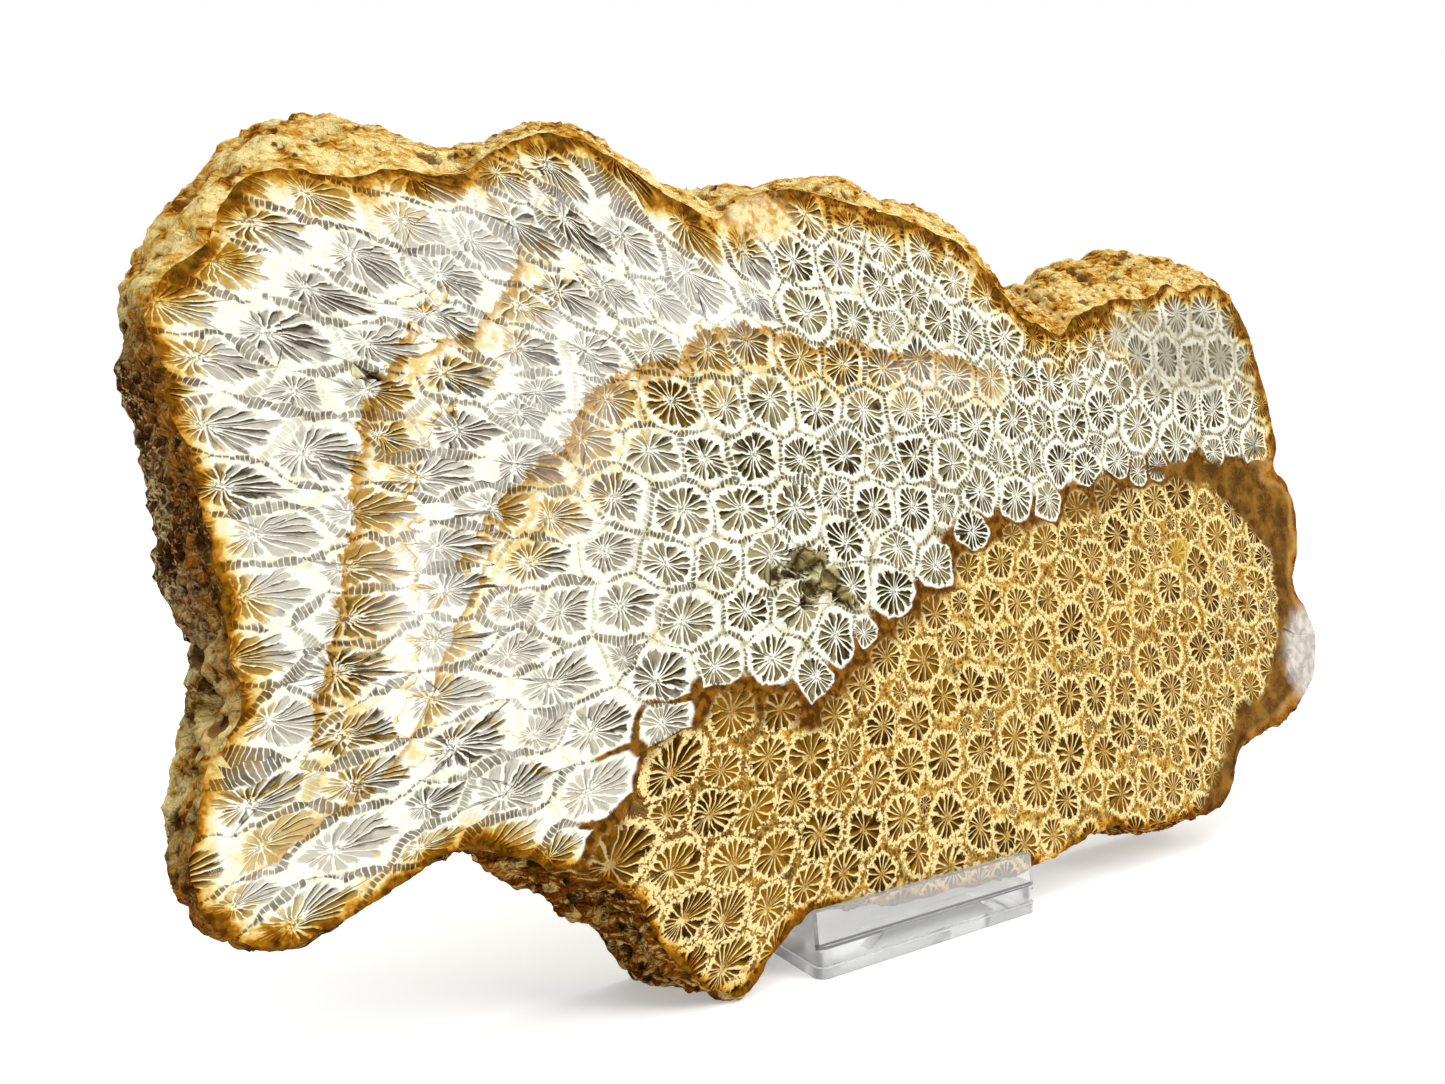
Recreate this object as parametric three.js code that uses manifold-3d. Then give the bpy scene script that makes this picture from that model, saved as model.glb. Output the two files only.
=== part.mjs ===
// A slice of fossil coral standing on edge in a small clear stand.
// Millimetres, +Z up. X runs along the slice and its cut face looks towards -Y.

import * as THREE from 'three';
import { mergeVertices } from 'three/addons/utils/BufferGeometryUtils.js';
import Module from 'manifold-3d';

const wasm = await Module();
wasm.setup();

// driving dimensions
const thickness = 17; // sawn face to sawn face
const lean = THREE.MathUtils.degToRad(8); // the slice and the stand's lip lean back
const seatGap = 0.3; // between the slice and each face that carries it
const roughness = 1.5; // how far the weathered rim's lumps stand out
const belly = 1.1; // how far the rim bows out half way through
const quietShare = 0.12; // the share of the lumps' rise lost at the sawn edges
const rimSteps = 252; // stations round the rim

// The rim of the cut face: [x, z, flare]. x is measured from the spike that the
// slice stands on and z is height up the leaning face. flare is how far the
// sawn back stands out past the cut face there.
const rim = [
  [-79, 104, 0], [-77, 109, 3], [-72, 113, 7], [-70, 119, 5], [-67, 123, 5], [-62, 125, 10],
  [-53, 125, 16], [-47, 128, 11], [-39, 128, 11], [-34, 132, 4], [-26, 137, 3], [-22, 138, 5],
  [-15, 137, 6], [-8, 134, 7], [-1, 131, 8], [8, 128, 10], [13, 133, 5], [22, 136, 3],
  [36, 136, 9], [50, 135, 8], [60, 133, 11], [69, 130, 11], [75, 125, 10], [81, 119, 11],
  [89, 117, 12], [95, 115, 13], [98, 119, 12], [103, 122, 9], [114, 125, 13], [128, 127, 14],
  [133, 131, 13], [141, 130, 12], [150, 133, 10], [159, 131, 8], [166, 124, 5], [170, 112, 3],
  [173, 101, 3], [174, 93, 3], [171, 87, 4], [176, 84, 2], [180, 75, 1], [177, 64, 2],
  [174, 57, 2], [179, 52, 1], [182, 42, 0], [179, 34, 1], [170, 27, 2], [153, 23, 2],
  [143, 20, 3], [140, 14, 2], [133, 9, 1], [122, 8, 0], [113, 9, 1], [106, 8, 1],
  [96, 11, 0], [86, 10, -1], [74, 8, -2], [61, 7, -3], [48, 8, -2], [35, 8, -2],
  [25, 10, 0], [16, 11, 1], [10, 8, 0], [5, 4, -2], [0, 0, -4], [-4, 3, 0],
  [-9, 7, 3], [-12, 12, 3], [-17, 21, 5], [-27, 26, 4], [-36, 30, 0], [-42, 33, 0],
  [-48, 31, 0], [-56, 27, 0], [-65, 24, -1], [-72, 26, -1], [-76, 33, 0], [-75, 43, 0],
  [-74, 48, 1], [-70, 52, 5], [-71, 61, 2], [-72, 71, 4], [-74, 83, 3], [-76, 92, 3],
  [-77, 97, 4]
];

// depth behind the cut face of each ring of the rim
const rimDepths = [0, 1.2, 2.8, 4.4, 6.2, 8, 9.8, 11.6, 13.4, 15, 16.2, thickness];
const flareSpread = 7; // stations each way over which the flare's direction is evened out

// Layered ledges on the underside, from the spike up into the notch.
const ledges = { fromX: -46, toX: -6, belowZ: 36, step: 3.9, depth: 2.4 };

// Weathered pits in the rim: [x, z] on the cut face's rim, depth behind it, radius.
const rimPits = [
  [-70, 54, 5, 3], [-71, 49, 9, 3.2], [-71, 62, 6, 2.6], [-74, 80, 8, 2.4], [-62, 125, 9, 2.4],
  [-52, 126, 6, 2], [-70, 119, 7, 2.2], [100, 121, 9, 2.6], [171, 87, 3, 3.2], [8, 128, 6, 2.4],
  [-30, 28, 8, 2.8], [-17, 20, 7, 2.4], [84, 118, 6, 2.8], [174, 57, 9, 2.6]
];

// The open vug in the cut face: [x, z, radius] of each angular hollow.
const vugs = [
  [14, 67, 2.2], [17, 68, 2.6], [20, 70, 2.8], [23, 69, 2.4], [22, 65, 3], [26, 66, 2.6],
  [28, 63, 2.4], [30, 62, 2], [20, 62, 1.8]
];
const vugDepth = 2.6; // how far each hollow reaches in
const slot = { x: -52, z: 98, long: 5, wide: 1.4, turn: 0.37 }; // a narrow slot in the cut face

// the stand
const standLeft = 15; // from the spike's tip
const standRight = 68.5;
const standMiddle = (standLeft + standRight) / 2;
const standFront = -1.6; // the base's front edge, before the foot of the cut face
const standDepth = 50;
const footHeight = 1.8; // the flange round the foot
const footReach = 0.6;
const lipTop = 10.9;
const lipThickness = 1.2;
const restTop = 66; // up the leaning back rest
const restThickness = 2.2;
const restTopWidth = 32;
const restFootWidth = 46;
const restFoot = 5; // where the rest starts, up the leaning frame
const restShoulder = 8; // above the stand's floor, where the rest starts to narrow
const blockBehind = 8; // how far the block runs on behind the slice
const braceThickness = 2.4;
const braceHeight = 44;
const braceTail = 3; // from the braces' tails to the back edge
const windowWidth = { top: 23, bottom: 31 };
const windowReach = 5;
const standRound = 1.6; // corner radius seen from above

// ---- solids ------------------------------------------------------------------

function toSolid(geometry) {
  const bare = geometry.index ? geometry.clone() : geometry;
  bare.deleteAttribute('normal');
  bare.deleteAttribute('uv');
  const merged = mergeVertices(bare, 1e-4);
  const mesh = new wasm.Mesh({
    numProp: 3,
    vertProperties: new Float32Array(merged.attributes.position.array),
    triVerts: new Uint32Array(merged.index.array)
  });
  return new wasm.Manifold(mesh);
}

function toGeometry(solid) {
  const mesh = solid.getMesh();
  const geometry = new THREE.BufferGeometry();
  geometry.setAttribute('position', new THREE.BufferAttribute(new Float32Array(mesh.vertProperties), 3));
  geometry.setIndex(new THREE.BufferAttribute(new Uint32Array(mesh.triVerts), 1));
  geometry.computeVertexNormals();
  return geometry;
}

// ---- the slice, modelled upright: x along it, y into its depth, z up its face --

// A smooth, repeatable unevenness between about -1 and 1.
function unevenness(x, y, z) {
  const broad = Math.sin(x / 4.7 + 1.9 * Math.sin(z / 8.3)) * Math.cos(z / 5.1 - y / 3.9);
  const fine = Math.sin(x / 1.9 - z / 2.3 + y / 1.7) * Math.cos(y / 1.3 + z / 2.9 + 2 * Math.sin(x / 6));
  return 0.6 * broad + 0.4 * fine;
}

// The rim's stations, with the way that it flares at each.
function rimStations() {
  const curve = new THREE.CatmullRomCurve3(rim.map(([x, z, flare]) => new THREE.Vector3(x, flare, z)),
    true, 'centripetal');
  const points = curve.getSpacedPoints(rimSteps).slice(0, rimSteps);
  const outward = points.map((point, i) => {
    const before = points[(i - 1 + rimSteps) % rimSteps];
    const after = points[(i + 1) % rimSteps];
    return new THREE.Vector2(before.z - after.z, after.x - before.x).normalize();
  });
  return points.map(({ x, y, z }, i) => ({ x, z, flare: y, out: evenedOut(outward, i) }));
}

// The outward direction averaged along the rim, so that the flare never folds in a notch.
function evenedOut(outward, i) {
  const sum = new THREE.Vector2();
  for (let k = -flareSpread; k <= flareSpread; k++) {
    sum.addScaledVector(outward[(i + k + rimSteps) % rimSteps], flareSpread + 1 - Math.abs(k));
  }
  return sum.normalize();
}

function rimOffset(station, depth) {
  const share = depth / thickness;
  const skin = station.flare * (1 - (1 - share) ** 2) + belly * Math.sin(Math.PI * share);
  const onLedges = station.x > ledges.fromX && station.x < ledges.toX && station.z < ledges.belowZ;
  const ledge = onLedges ? ledges.depth * (Math.floor(depth / ledges.step) % 2 ? -0.5 : 0.5) : 0;
  const fade = Math.sin(Math.PI * (quietShare + (1 - 2 * quietShare) * share));
  return skin + fade * (ledge + roughness * unevenness(station.x, depth, station.z));
}

// The point of the rim's skin at a station and a depth behind the cut face.
function rimPoint(station, depth) {
  const offset = rimOffset(station, depth);
  return [station.x + station.out.x * offset, depth, station.z + station.out.y * offset];
}

function sliceBlank(stations) {
  const positions = rimDepths.flatMap((depth) => stations.flatMap((station) => rimPoint(station, depth)));
  const index = [];
  for (let ring = 0; ring < rimDepths.length - 1; ring++) {
    for (let i = 0; i < rimSteps; i++) {
      const a = ring * rimSteps + i;
      const b = ring * rimSteps + (i + 1) % rimSteps;
      index.push(a, b, a + rimSteps, b, b + rimSteps, a + rimSteps);
    }
  }
  addSawnFace(positions, index, 0);
  addSawnFace(positions, index, rimDepths.length - 1);
  const geometry = new THREE.BufferGeometry();
  geometry.setAttribute('position', new THREE.Float32BufferAttribute(positions, 3));
  geometry.setIndex(index);
  return toSolid(geometry);
}

function addSawnFace(positions, index, ring) {
  const first = ring * rimSteps;
  const contour = [];
  for (let i = first; i < first + rimSteps; i++) {
    contour.push(new THREE.Vector2(positions[3 * i], positions[3 * i + 2]));
  }
  const facesFront = ring === 0;
  for (const [a, b, c] of THREE.ShapeUtils.triangulateShape(contour, [])) {
    const [p, q, r] = [contour[a], contour[b], contour[c]];
    const turnsLeft = (q.x - p.x) * (r.y - p.y) - (q.y - p.y) * (r.x - p.x) > 0;
    index.push(first + a, ...(turnsLeft === facesFront ? [first + b, first + c] : [first + c, first + b]));
  }
}

// An angular hollow: a coarse ball, stretched and turned differently at each place.
function hollow(x, depth, z, radius, reach) {
  const ball = new THREE.IcosahedronGeometry(radius, 1);
  ball.rotateY(x);
  ball.rotateX(z);
  ball.scale(1, reach / radius, 0.9);
  ball.translate(x, depth, z);
  return toSolid(ball);
}

function faceSlot() {
  const wedge = new THREE.IcosahedronGeometry(1, 1);
  wedge.scale(slot.long / 2, vugDepth, slot.wide / 2);
  wedge.rotateY(slot.turn);
  wedge.translate(slot.x, 0, slot.z);
  return toSolid(wedge);
}

function nearestStation(stations, x, z) {
  const away = (station) => Math.hypot(station.x - x, station.z - z);
  return stations.reduce((best, station) => (away(station) < away(best) ? station : best));
}

function coralSlice() {
  const stations = rimStations();
  let solid = sliceBlank(stations);
  for (const [x, z, depth, radius] of rimPits) {
    const [pitX, , pitZ] = rimPoint(nearestStation(stations, x, z), depth);
    solid = solid.subtract(hollow(pitX, depth, pitZ, radius, radius));
  }
  for (const [x, z, radius] of vugs) {
    solid = solid.subtract(hollow(x, 0, z, radius, vugDepth));
  }
  return toGeometry(solid.subtract(faceSlot()));
}

// ---- the stand, in the row's own upright frame ---------------------------------

function polygon(points) {
  return new THREE.Shape(points.map(([across, up]) => new THREE.Vector2(across, up)));
}

// A slab of the stand: an outline in the (y, z) plane carried from x0 to x1.
function sideProfile(points, x0, x1) {
  const prism = new THREE.ExtrudeGeometry(polygon(points), { depth: x1 - x0, bevelEnabled: false });
  prism.rotateY(Math.PI / 2);
  prism.rotateX(Math.PI / 2);
  prism.translate(x0, 0, 0);
  return toSolid(prism);
}

// A plate lying flat, its corners rounded as seen from above.
function roundedPlate(x0, x1, y0, y1, z0, z1, radius) {
  const shape = new THREE.Shape();
  shape.moveTo(x0 + radius, y0);
  shape.lineTo(x1 - radius, y0);
  shape.absarc(x1 - radius, y0 + radius, radius, -Math.PI / 2, 0);
  shape.lineTo(x1, y1 - radius);
  shape.absarc(x1 - radius, y1 - radius, radius, 0, Math.PI / 2);
  shape.lineTo(x0 + radius, y1);
  shape.absarc(x0 + radius, y1 - radius, radius, Math.PI / 2, Math.PI);
  shape.lineTo(x0, y0 + radius);
  shape.absarc(x0 + radius, y0 + radius, radius, Math.PI, 1.5 * Math.PI);
  const plate = new THREE.ExtrudeGeometry(shape, { depth: z1 - z0, bevelEnabled: false, curveSegments: 5 });
  plate.translate(0, 0, z0);
  return toSolid(plate);
}

// A point of the leaning frame of the slice, as [y, z] in the upright frame.
function leaning(depth, height) {
  return [depth * Math.cos(lean) + height * Math.sin(lean), height * Math.cos(lean) - depth * Math.sin(lean)];
}

function standLip(seat) {
  const behind = -seatGap;
  const front = behind - lipThickness;
  const foot = seat - 1;
  // a point at a depth of the leaning frame and a height of the upright one
  const tilt = (depth, z) => leaning(depth, (z + depth * Math.sin(lean)) / Math.cos(lean));
  const profile = [tilt(front, foot), tilt(behind, foot), tilt(behind, lipTop), tilt(front, lipTop)];
  return sideProfile(profile, standLeft + footReach, standRight - footReach);
}

function backRest(seat) {
  const face = thickness + seatGap;
  const shoulder = seat + restShoulder;
  const [wide, narrow] = [restFootWidth / 2, restTopWidth / 2];
  const plate = polygon([[-wide, restFoot], [wide, restFoot], [wide, shoulder], [narrow, restTop],
    [-narrow, restTop], [-wide, shoulder]]);
  const board = new THREE.ExtrudeGeometry(plate, { depth: restThickness, bevelEnabled: false });
  board.rotateX(Math.PI / 2);
  board.translate(standMiddle, face + restThickness, 0);
  board.rotateX(-lean);
  return toSolid(board);
}

function braces() {
  const face = thickness + seatGap + restThickness / 2;
  const [topY, topZ] = leaning(face, braceHeight);
  const [footY] = leaning(face, 0);
  const tailY = standFront + standDepth - braceTail;
  const profile = [[footY, footHeight / 2], [tailY, footHeight / 2], [tailY, footHeight + 1], [topY, topZ]];
  const side = restTopWidth / 2 - braceThickness;
  return [standMiddle - side, standMiddle + side].map((x) => sideProfile(profile,
    x - braceThickness / 2, x + braceThickness / 2));
}

// The recess in the front of the base, with sloping ends.
function frontWindow(seat) {
  const low = footHeight + 0.5;
  const high = seat - 0.4;
  const [wide, narrow] = [windowWidth.bottom / 2, windowWidth.top / 2];
  const shape = polygon([[-wide, low], [wide, low], [narrow, high], [-narrow, high]]);
  const plug = new THREE.ExtrudeGeometry(shape, { depth: windowReach + 2, bevelEnabled: false });
  plug.rotateX(Math.PI / 2);
  plug.translate(standMiddle, standFront + windowReach, 0);
  return toSolid(plug);
}

function displayStand(seat) {
  const back = standFront + standDepth;
  const foot = roundedPlate(standLeft, standRight, standFront, back, 0, footHeight, standRound + footReach);
  const block = roundedPlate(standLeft + footReach, standRight - footReach, standFront + footReach,
    thickness + blockBehind, footHeight / 2, seat, standRound);
  let solid = foot.add(block).add(standLip(seat)).add(backRest(seat));
  for (const brace of braces()) {
    solid = solid.add(brace);
  }
  return toGeometry(solid.subtract(frontWindow(seat)));
}

// ---- the model -------------------------------------------------------------------

const group = new THREE.Group();

const slice = new THREE.Mesh(coralSlice(),
  new THREE.MeshStandardMaterial({ color: 0xc9b183, roughness: 0.35, metalness: 0 }));
slice.name = 'coral_slice';
slice.rotation.x = -lean;
slice.updateMatrixWorld();
slice.position.z = -new THREE.Box3().setFromObject(slice, true).min.z;
slice.updateMatrixWorld();

// The stand's floor comes up to the lowest point of the slice between its ends.
function lowestOverStand() {
  const corner = new THREE.Vector3();
  const places = slice.geometry.attributes.position;
  let lowest = Infinity;
  for (let i = 0; i < places.count; i++) {
    corner.fromBufferAttribute(places, i).applyMatrix4(slice.matrixWorld);
    if (corner.x > standLeft - 1 && corner.x < standRight + 1) {
      lowest = Math.min(lowest, corner.z);
    }
  }
  return lowest;
}

const stand = new THREE.Mesh(displayStand(lowestOverStand() - seatGap),
  new THREE.MeshStandardMaterial({ color: 0xf2f5f5, roughness: 0.05, metalness: 0 }));
stand.name = 'display_stand';

group.add(slice, stand);
const box = new THREE.Box3().setFromObject(group, true);
group.position.set(-(box.min.x + box.max.x) / 2, -(box.min.y + box.max.y) / 2, 0);

export default group;
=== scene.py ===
import itertools
import math
import bmesh
import bpy
import numpy as np
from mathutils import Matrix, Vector
from mathutils.bvhtree import BVHTree
from mathutils.geometry import delaunay_2d_cdt


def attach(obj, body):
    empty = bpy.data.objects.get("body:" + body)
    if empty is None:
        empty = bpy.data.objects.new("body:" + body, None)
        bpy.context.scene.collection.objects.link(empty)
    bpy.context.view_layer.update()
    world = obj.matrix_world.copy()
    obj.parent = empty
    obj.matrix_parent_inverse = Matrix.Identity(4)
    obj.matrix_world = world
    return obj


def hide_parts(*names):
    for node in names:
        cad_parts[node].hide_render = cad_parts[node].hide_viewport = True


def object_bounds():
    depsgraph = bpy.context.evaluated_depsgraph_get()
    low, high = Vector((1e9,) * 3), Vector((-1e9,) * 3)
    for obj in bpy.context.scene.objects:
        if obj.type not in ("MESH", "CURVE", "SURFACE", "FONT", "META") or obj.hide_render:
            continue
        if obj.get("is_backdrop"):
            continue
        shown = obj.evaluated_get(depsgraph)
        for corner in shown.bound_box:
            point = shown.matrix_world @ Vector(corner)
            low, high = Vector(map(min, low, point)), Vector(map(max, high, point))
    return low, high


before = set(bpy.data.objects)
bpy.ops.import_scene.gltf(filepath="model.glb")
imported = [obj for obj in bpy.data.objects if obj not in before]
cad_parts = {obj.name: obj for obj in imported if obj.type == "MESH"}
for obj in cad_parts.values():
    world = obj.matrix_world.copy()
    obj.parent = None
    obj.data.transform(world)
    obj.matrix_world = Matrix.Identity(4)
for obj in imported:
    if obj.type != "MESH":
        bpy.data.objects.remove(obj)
cadLow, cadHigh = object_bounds()
mm = 0.001

# the slice's own frame: u along it, w up its cut face, d behind that face, in mm


def readSolid(node):  # a merged copy of a CAD node, as points in mm and triangles
    work = bmesh.new()
    work.from_mesh(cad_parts[node].data)
    bmesh.ops.remove_doubles(work, verts=work.verts, dist=1e-6)
    work.normal_update()
    points = np.array([v.co for v in work.verts]) / mm
    faces = [[v.index for v in f.verts] for f in work.faces]
    normal = max((f for f in work.faces if f.normal.y < -0.9), key=lambda f: f.calc_area()).normal.copy()
    work.free()
    return points, faces, math.atan2(normal.z, -normal.y)


solidPoints, solidFaces, lean = readSolid("coral_slice")
upTheFace = np.array([0, math.sin(lean), math.cos(lean)])
intoTheSlice = np.array([0, math.cos(lean), -math.sin(lean)])
depthStart = (solidPoints @ intoTheSlice).min()
onCutFace = solidPoints @ intoTheSlice - depthStart < 0.01
spike = min(solidPoints[onCutFace], key=lambda p: p @ upTheFace)
origin = spike - 0.9 * np.array([1, 0, 0]) - 0.16 * upTheFace  # of the outline's own measures


def toLeaning(points):
    away = points - origin
    return np.stack([away[:, 0], away @ upTheFace, away @ intoTheSlice], 1)


def fromLeaning(places):
    u, w, d = places.T
    return origin + np.outer(u, [1, 0, 0]) + np.outer(w, upTheFace) + np.outer(d, intoTheSlice)


solid = toLeaning(solidPoints)
solidTree = BVHTree.FromPolygons([tuple(p) for p in solid], solidFaces)
thickness = solid[:, 2].max()
print("slice frame: lean", round(math.degrees(lean), 2), "deg, thickness", round(thickness, 2), "mm")


def smoothStep(low, high, value):
    t = np.clip((value - low) / (high - low), 0, 1)
    return t * t * (3 - 2 * t)


hashPrimes = (374761393, 668265263, 914744137)


def lumpNoise(places, size, seed):  # smooth seeded noise from -1 to 1
    q = np.asarray(places, float) / size + 31.7 * seed
    cell = np.floor(q).astype(np.int64)
    part = q - cell
    part = part * part * (3 - 2 * part)
    total = np.zeros(len(q))
    axes = range(q.shape[1])
    for corner in itertools.product((0, 1), repeat=len(axes)):
        mixed = sum((cell[:, k] + corner[k]) * hashPrimes[k] for k in axes)
        mixed = (mixed + 974634777 * seed) & 0xFFFFFFFF
        mixed = ((mixed ^ (mixed >> 13)) * 1274126177) & 0xFFFFFFFF
        value = ((mixed ^ (mixed >> 16)) & 0xFFFF) / 32767.5 - 1
        total += value * np.prod([part[:, k] if corner[k] else 1 - part[:, k] for k in axes], axis=0)
    return total


def roughNoise(places, size, seed, octaves=3):
    return sum(lumpNoise(places, size / 2 ** k, seed + k) / 2 ** k for k in range(octaves))


# the rim

rim = {
    "stationStep": 0.52,  # mm between stations round the rim
    "rowStep": 0.53,  # mm between rows across the thickness
    "evenOut": 22.0,  # mm over which the outward direction is averaged
    "rayStart": 26.0,  # mm outside the outline, from where the solid is felt for
    "rayReach": 21.0,  # mm from the outline, where a hit no longer counts
    "rayMargin": 0.12,  # mm kept from the sawn edges
    "inner": 1.4,  # mm from a sawn edge, where the skin has its full roughness
    "chips": 0.4,  # mm, how far the sawn edge wanders
    "chipSize": 3.1,
    "lumps": 0.75,  # mm, broad unevenness of the skin
    "lumpSize": 5.5,
    "ridgeSize": 3.4,
    "grain": 0.32,  # mm, fine unevenness of the skin
    "grainSize": 1.3,
    "beds": (2.2, 1.1),  # mm, pitch and rise of the layers under the notch
    "bedsAlong": ((-46, -38), (4, -2)),  # mm along the slice, where they come in and go out
    "bedsBelow": (40, 30),
    "pitsPerSquareCm": 12,
    "seed": 4,
}


def cutFaceLoops():  # the edges of the flat cut face as closed loops, the longest first
    flat = {k for k, face in enumerate(solidFaces) if all(solid[v, 2] < 0.01 for v in face)}
    edges = {}
    for face in (solidFaces[k] for k in flat):
        edges.update(dict.fromkeys(zip(face, face[1:] + face[:1])))
    onward = {a: b for a, b in edges if (b, a) not in edges}
    loops = []
    while onward:
        start = next(iter(onward))
        loop = [start]
        while onward.get(loop[-1]) is not None:
            following = onward.pop(loop[-1])
            if following == start:
                break
            loop.append(following)
        loops.append(solid[loop][:, :2])
    return sorted(loops, key=lambda loop: -np.ptp(loop[:, 0]))


def rounded(values, width):  # values round a closed loop, averaged over a bell of so many stations
    reach = int(3 * width) + 1
    weights = np.exp(-0.5 * (np.arange(-reach, reach + 1) / width) ** 2)
    shifted = [np.roll(values, k, axis=0) * weight for k, weight in zip(range(-reach, reach + 1), weights)]
    return sum(shifted) / weights.sum()


def stationsRound(loop):  # even stations round the cut face, anticlockwise, with the way out at each
    around = np.vstack([loop, loop[:1]])
    run = np.concatenate([[0], np.cumsum(np.hypot(*np.diff(around, axis=0).T))])
    count = int(run[-1] / rim["stationStep"])
    at = np.linspace(0, run[-1], count, endpoint=False)
    places = np.stack([np.interp(at, run, around[:, k]) for k in (0, 1)], 1)
    places = rounded(places, 1.5 / rim["stationStep"])
    along = np.roll(places, -1, 0) - np.roll(places, 1, 0)
    outward = np.stack([along[:, 1], -along[:, 0]], 1)
    area = np.sum(places[:, 0] * np.roll(places[:, 1], -1) - places[:, 1] * np.roll(places[:, 0], -1))
    if area < 0:
        places, outward = places[::-1], -outward[::-1]
    outward /= np.linalg.norm(outward, axis=1)[:, None]
    even = rounded(outward, rim["evenOut"] / 2.4 / rim["stationStep"])
    return places, even / np.linalg.norm(even, axis=1)[:, None], outward


def rimSkin():  # the rim's points as stations by rows, read from the solid and roughened
    places, out, outward = stationsRound(cutFaceLoops()[0])
    depths = np.linspace(0, thickness, int(round(thickness / rim["rowStep"])) + 1)
    levels = np.clip(depths, rim["rayMargin"], thickness - rim["rayMargin"])
    start = rim["rayStart"]
    offset = np.zeros((len(places), len(depths)))
    for i, (place, way) in enumerate(zip(places, out)):
        for k, level in enumerate(levels):
            source, inwards = Vector((*(place + way * start), level)), Vector((*-way, 0))
            far = solidTree.ray_cast(source, inwards, 2 * start)[3]
            offset[i, k] = start - far if far is not None else np.nan
    for row in offset.T:
        bad = np.isnan(row) | (np.abs(row) > rim["rayReach"])
        row[bad] = np.interp(np.flatnonzero(bad), np.flatnonzero(~bad), row[~bad])
    offset = rounded(offset, 0.9 / rim["stationStep"])
    offset[:, 0] = 0
    grid = np.empty((len(places), len(depths), 3))
    grid[:, :, :2] = places[:, None] + out[:, None] * offset[:, :, None]
    grid[:, :, 2] = depths
    return roughened(grid, outward), out


def gridNormals(grid):
    along = np.roll(grid, -1, 0) - np.roll(grid, 1, 0)
    across = np.gradient(grid, axis=1)
    normal = np.cross(along, across)
    return normal / np.maximum(np.linalg.norm(normal, axis=2), 1e-9)[:, :, None]


def pitField(grid, random):  # weathered pits: how deep each point of the rim lies in one, mm
    flat = grid.reshape(-1, 3)
    deep = np.zeros(len(flat))
    area = len(grid) * rim["stationStep"] * thickness / 100
    for centre in flat[random.integers(0, len(flat), int(area * rim["pitsPerSquareCm"]))]:
        size = random.uniform(0.5, 1.0) * random.choice([1, 1, 1, 1.8])
        away = np.linalg.norm((flat - centre) / size, axis=1)
        near = away < 1
        deep[near] = np.maximum(deep[near], 0.95 * size * (1 - away[near] ** 2))
    return deep.reshape(grid.shape[:2])


def roughened(grid, outward):
    random = np.random.default_rng(rim["seed"])
    shape = grid.shape[:2]
    flat = grid.reshape(-1, 3)
    u, w, depth = np.moveaxis(grid, 2, 0)
    inner = smoothStep(0, rim["inner"], depth) * smoothStep(0, rim["inner"], thickness - depth)
    lumps = roughNoise(flat, rim["lumpSize"], 3).reshape(shape)
    ridged = (1 - 2 * np.abs(roughNoise(flat * [1, 1, 1.7], rim["ridgeSize"], 9))).reshape(shape)
    grain = roughNoise(flat, rim["grainSize"], 5, 2).reshape(shape)
    (inFrom, inTo), (outFrom, outTo) = rim["bedsAlong"]
    under = smoothStep(inFrom, inTo, u) * smoothStep(outFrom, outTo, u) * smoothStep(*rim["bedsBelow"], w)
    pitch, rise = rim["beds"]
    layer = (depth + 0.8 * lumpNoise(flat, 7, 14).reshape(shape)) / pitch % 1 - 0.5
    moved = rim["lumps"] * (lumps + 0.6 * ridged) * inner + rim["grain"] * grain * (0.25 + 0.75 * inner)
    moved = moved + rise * under * inner * layer
    pits = pitField(grid, random) * inner
    wander = rim["chips"] * roughNoise(flat[:, :2], rim["chipSize"], 21).reshape(shape) * (1 - inner)
    grid = grid + gridNormals(grid) * (moved - pits)[:, :, None]
    grid[:, :, :2] += outward[:, None] * wander[:, :, None]
    grid[:, 0, 2] = 0
    grid[:, -1, 2] = thickness
    grid[:, :, 2] = np.clip(grid[:, :, 2], 0, thickness)
    return grid, pits


(rimGrid, rimPits), rimOut = rimSkin()
print("rim:", rimGrid.shape[0], "stations by", rimGrid.shape[1], "rows")

# colour zones on the cut faces, in the slice's own mm

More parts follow.
